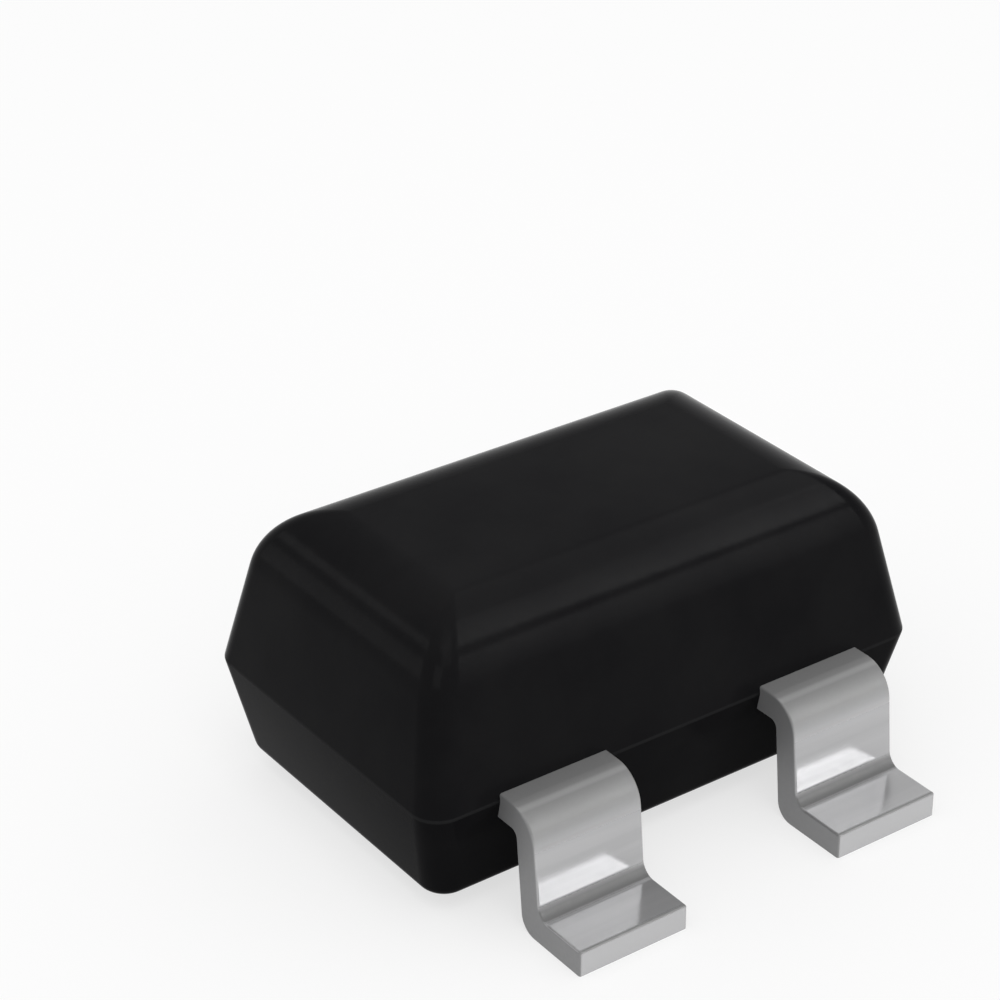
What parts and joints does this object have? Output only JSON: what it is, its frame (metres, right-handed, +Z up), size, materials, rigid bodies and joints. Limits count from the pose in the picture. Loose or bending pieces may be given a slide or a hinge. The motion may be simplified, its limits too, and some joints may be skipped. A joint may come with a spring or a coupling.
{
  "type": "varactor diode",
  "caption": "Small moulded surface-mount varactor diode pair: black drafted epoxy body with flat gull-wing leads for tuning circuits.",
  "frame": {"origin": "middle of the package on the board surface, level with the solder side of the feet", "axes": "+Z up from the board, X along the body, +Y towards the single cathode lead, with the pair of anode leads on -Y"},
  "size_m": [0.002, 0.0022, 0.001],
  "materials": {
    "epoxy": "satin black moulded epoxy",
    "tinned_strip": "satin tin plate on copper alloy strip",
    "silicon": "polished silicon with a bright contact",
    "die_adhesive": "cured silver-filled adhesive",
    "gold_wire": "bright gold"
  },
  "bodies": {
    "root": {"moulded_body": "epoxy", "cathode_lead": "tinned_strip", "anode_lead_left": "tinned_strip", "anode_lead_right": "tinned_strip", "diode_die_left": "silicon", "diode_die_right": "silicon", "die_attach_left": "die_adhesive", "die_attach_right": "die_adhesive", "bond_wire_left": "gold_wire", "bond_wire_right": "gold_wire"}
  },
  "joints": []
}
